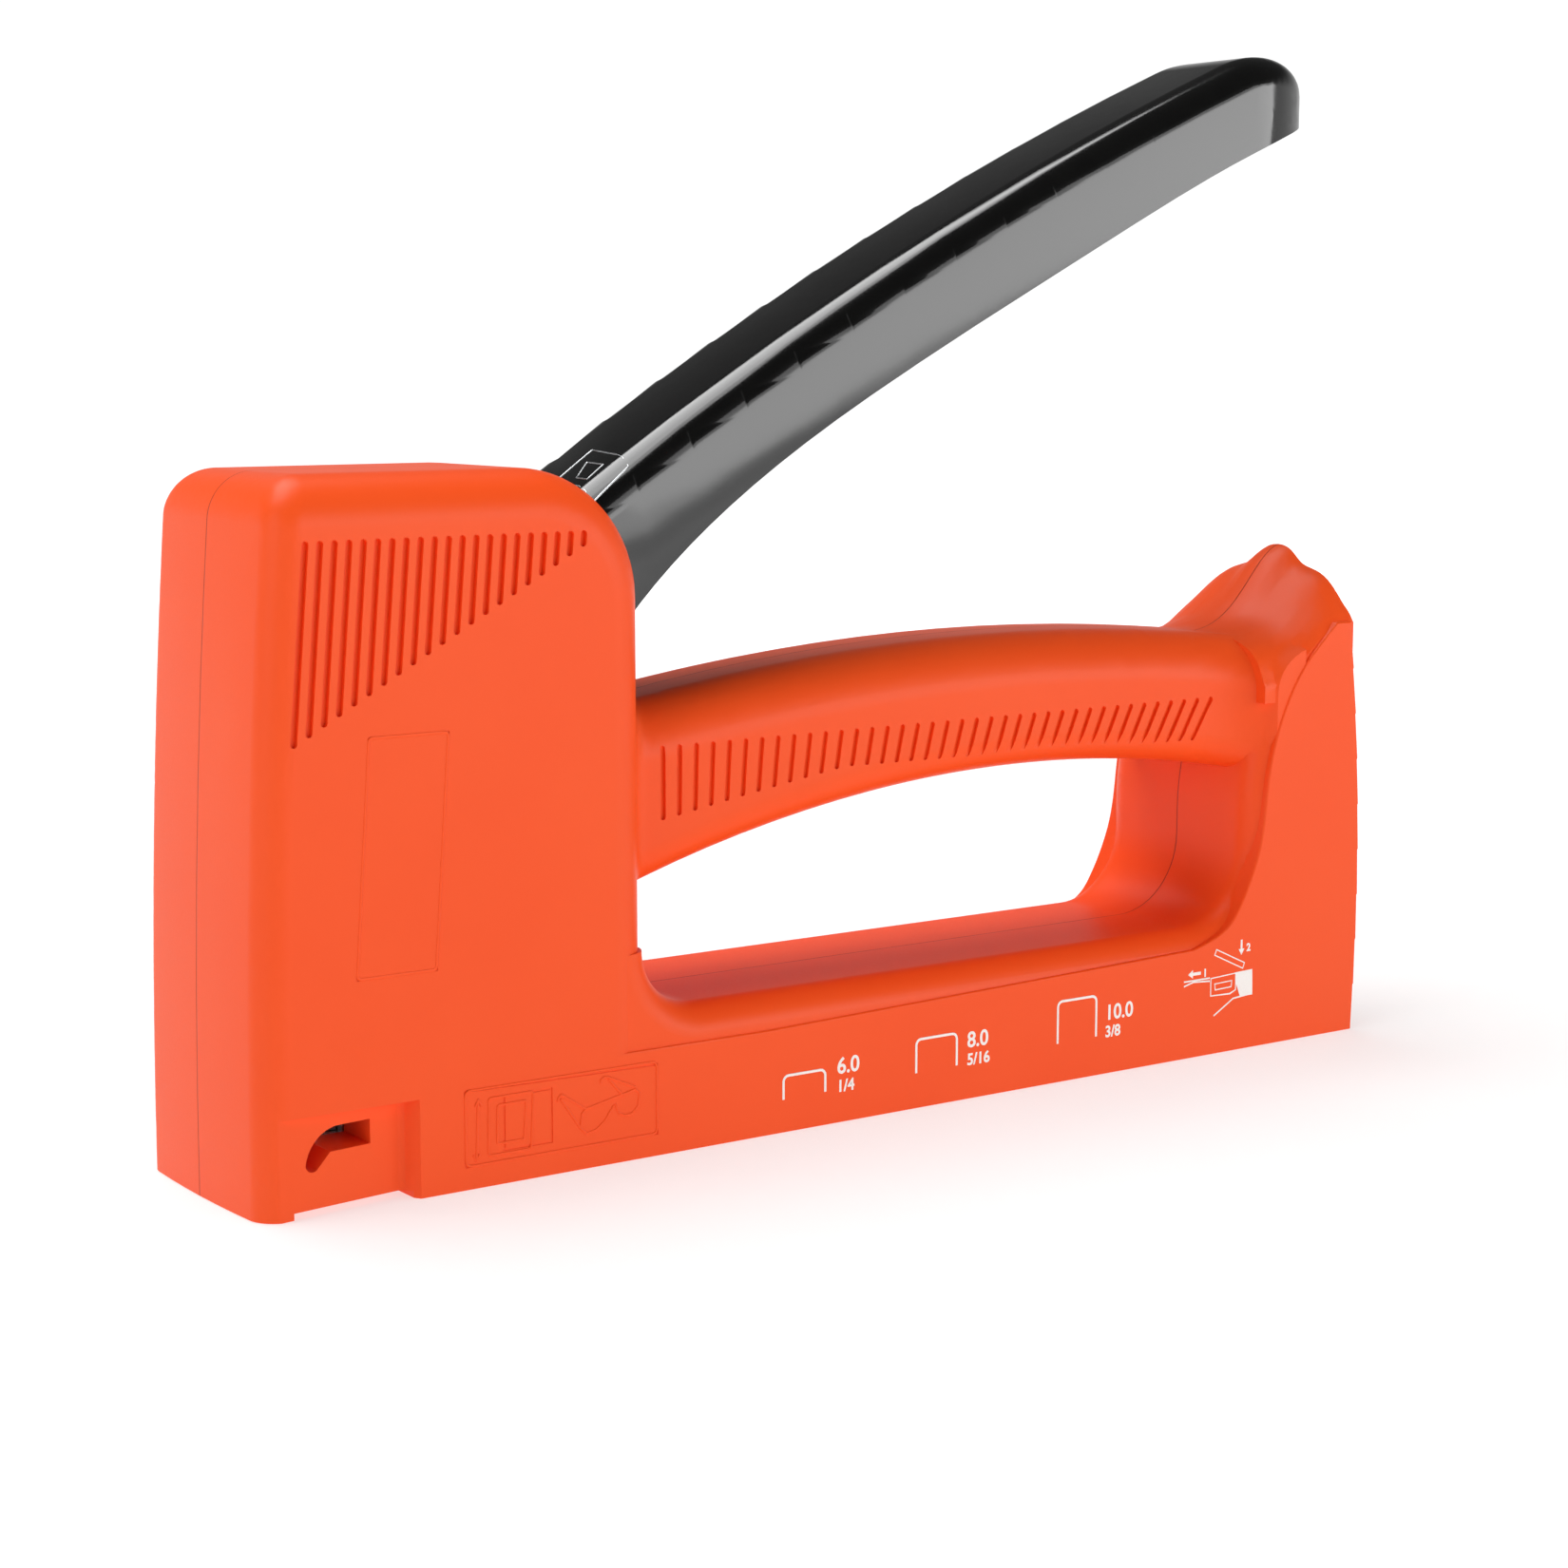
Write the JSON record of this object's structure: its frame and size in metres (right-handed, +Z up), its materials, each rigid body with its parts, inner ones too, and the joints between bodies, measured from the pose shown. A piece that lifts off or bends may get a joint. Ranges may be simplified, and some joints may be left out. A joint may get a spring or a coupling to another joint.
{
  "type": "staple gun",
  "caption": "Hand-squeezed staple gun: two-shell plastic casing, channel lever, spring-driven striker and pull-out staple magazine.",
  "frame": {"origin": "where a staple leaves: centre of the outlet, on the base plane that rests on the work", "axes": "+X towards the rear of the tool, +Y across the casing towards its right side, +Z up"},
  "size_m": [0.1606, 0.0296, 0.1274],
  "materials": {
    "casing": "fine-textured orange moulding",
    "lever": "glossy black powder coat on pressed steel",
    "steel": "zinc-plated pressed steel",
    "hardened_steel": "ground hardened steel",
    "spring_steel": "oiled spring wire",
    "black_plastic": "black nylon",
    "rubber": "matt rubber"
  },
  "bodies": {
    "casing": {"shell_left": "casing", "shell_right": "casing", "shell_screws": "steel", "pivot_pin": "steel", "pivot_sleeve": "steel", "stop_pin": "steel", "return_spring": "spring_steel", "main_spring": "spring_steel", "spring_seat": "black_plastic", "bumper": "rubber", "nose_plate": "steel", "staple_channel": "steel"},
    "lever": {"handle_lever": "lever"},
    "striker": {"plunger": "steel", "lift_studs": "hardened_steel", "driver_blade": "hardened_steel", "blade_rivets": "steel"},
    "magazine": {"pusher_rail": "steel", "pusher_rod": "steel", "pusher_spring": "spring_steel", "rail_cap": "black_plastic", "cap_rivets": "steel", "catch_spring": "spring_steel"},
    "follower": {"pusher": "steel"}
  },
  "joints": [
    {"name": "lever_squeeze", "type": "hinge", "parent": "casing", "child": "lever", "pos_m": [0.035, 0, 0.06], "axis": [0, 1, 0], "range_deg": [0, 27], "stiffness_Nm_per_rad": 0.6, "springref_deg": -17.19, "deforming": ["return_spring"]},
    {"name": "striker_lift", "type": "slide", "parent": "casing", "child": "striker", "axis": [0, 0, 1], "range_m": [0, 0.0128], "deforming": ["main_spring"]},
    {"name": "magazine_slide", "type": "slide", "parent": "casing", "child": "magazine", "axis": [1, 0, 0], "range_m": [0, 0.115], "deforming": ["catch_spring"]},
    {"name": "follower_slide", "type": "slide", "parent": "magazine", "child": "follower", "axis": [1, 0, 0], "range_m": [0, 0.085], "stiffness_N_per_m": 15, "springref_m": -0.1, "deforming": ["pusher_spring"]}
  ],
  "couplings": [
    {"joint": "striker_lift", "follows": "lever_squeeze", "m_per_rad": 0.027002}
  ]
}
